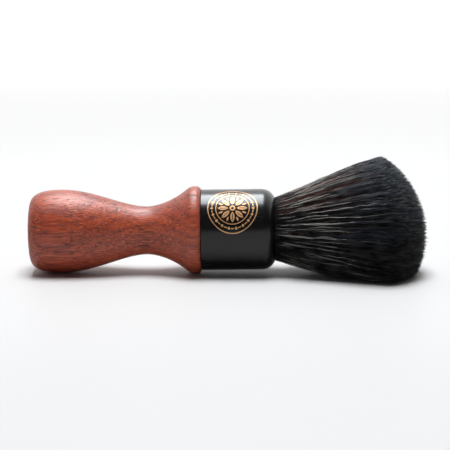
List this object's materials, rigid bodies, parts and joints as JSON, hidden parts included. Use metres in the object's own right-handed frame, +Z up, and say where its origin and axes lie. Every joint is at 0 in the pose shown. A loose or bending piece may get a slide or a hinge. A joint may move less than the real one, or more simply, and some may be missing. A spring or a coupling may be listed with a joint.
{
  "type": "neck duster brush",
  "caption": "Barber's neck duster lying on its side: turned hardwood handle with a flared rim, black metal collar with a printed gold seal, and a dense fan of soft black fibres.",
  "frame": {"origin": "on the surface that the brush lies on, under the middle of its length", "axes": "+X along the brush from the butt towards the fibre tips, +Z up, and +Y away from the side with the seal. The brush rests on the handle's bulge, its rim and the fan's flattened side, so its own axis rises 0.85 degrees from the row's +X."},
  "size_m": [0.1808, 0.0646, 0.0535],
  "materials": {
    "handle_wood": "oiled red-brown hardwood, satin, with fine dark pores along the grain",
    "collar_black": "satin black coating",
    "seal_gold": "thin film of satin gold ink",
    "insert_brass": "turned, bare",
    "stud_steel": "zinc plated",
    "plug_resin": "cast resin round the fibre roots, semi-gloss",
    "adhesive": "cured epoxy",
    "tie_cord": "waxed polyester cord",
    "fibre": "soft black synthetic hair, slightly glossy, with blue-grey and brown glints"
  },
  "bodies": {
    "root": {"handle": "handle_wood", "threaded_insert": "insert_brass", "joining_stud": "stud_steel", "collar": "collar_black", "knot_adhesive": "adhesive", "knot_plug": "plug_resin", "knot_tie": "tie_cord", "fibre_fan": "fibre", "gold_seal": "seal_gold"}
  },
  "joints": []
}
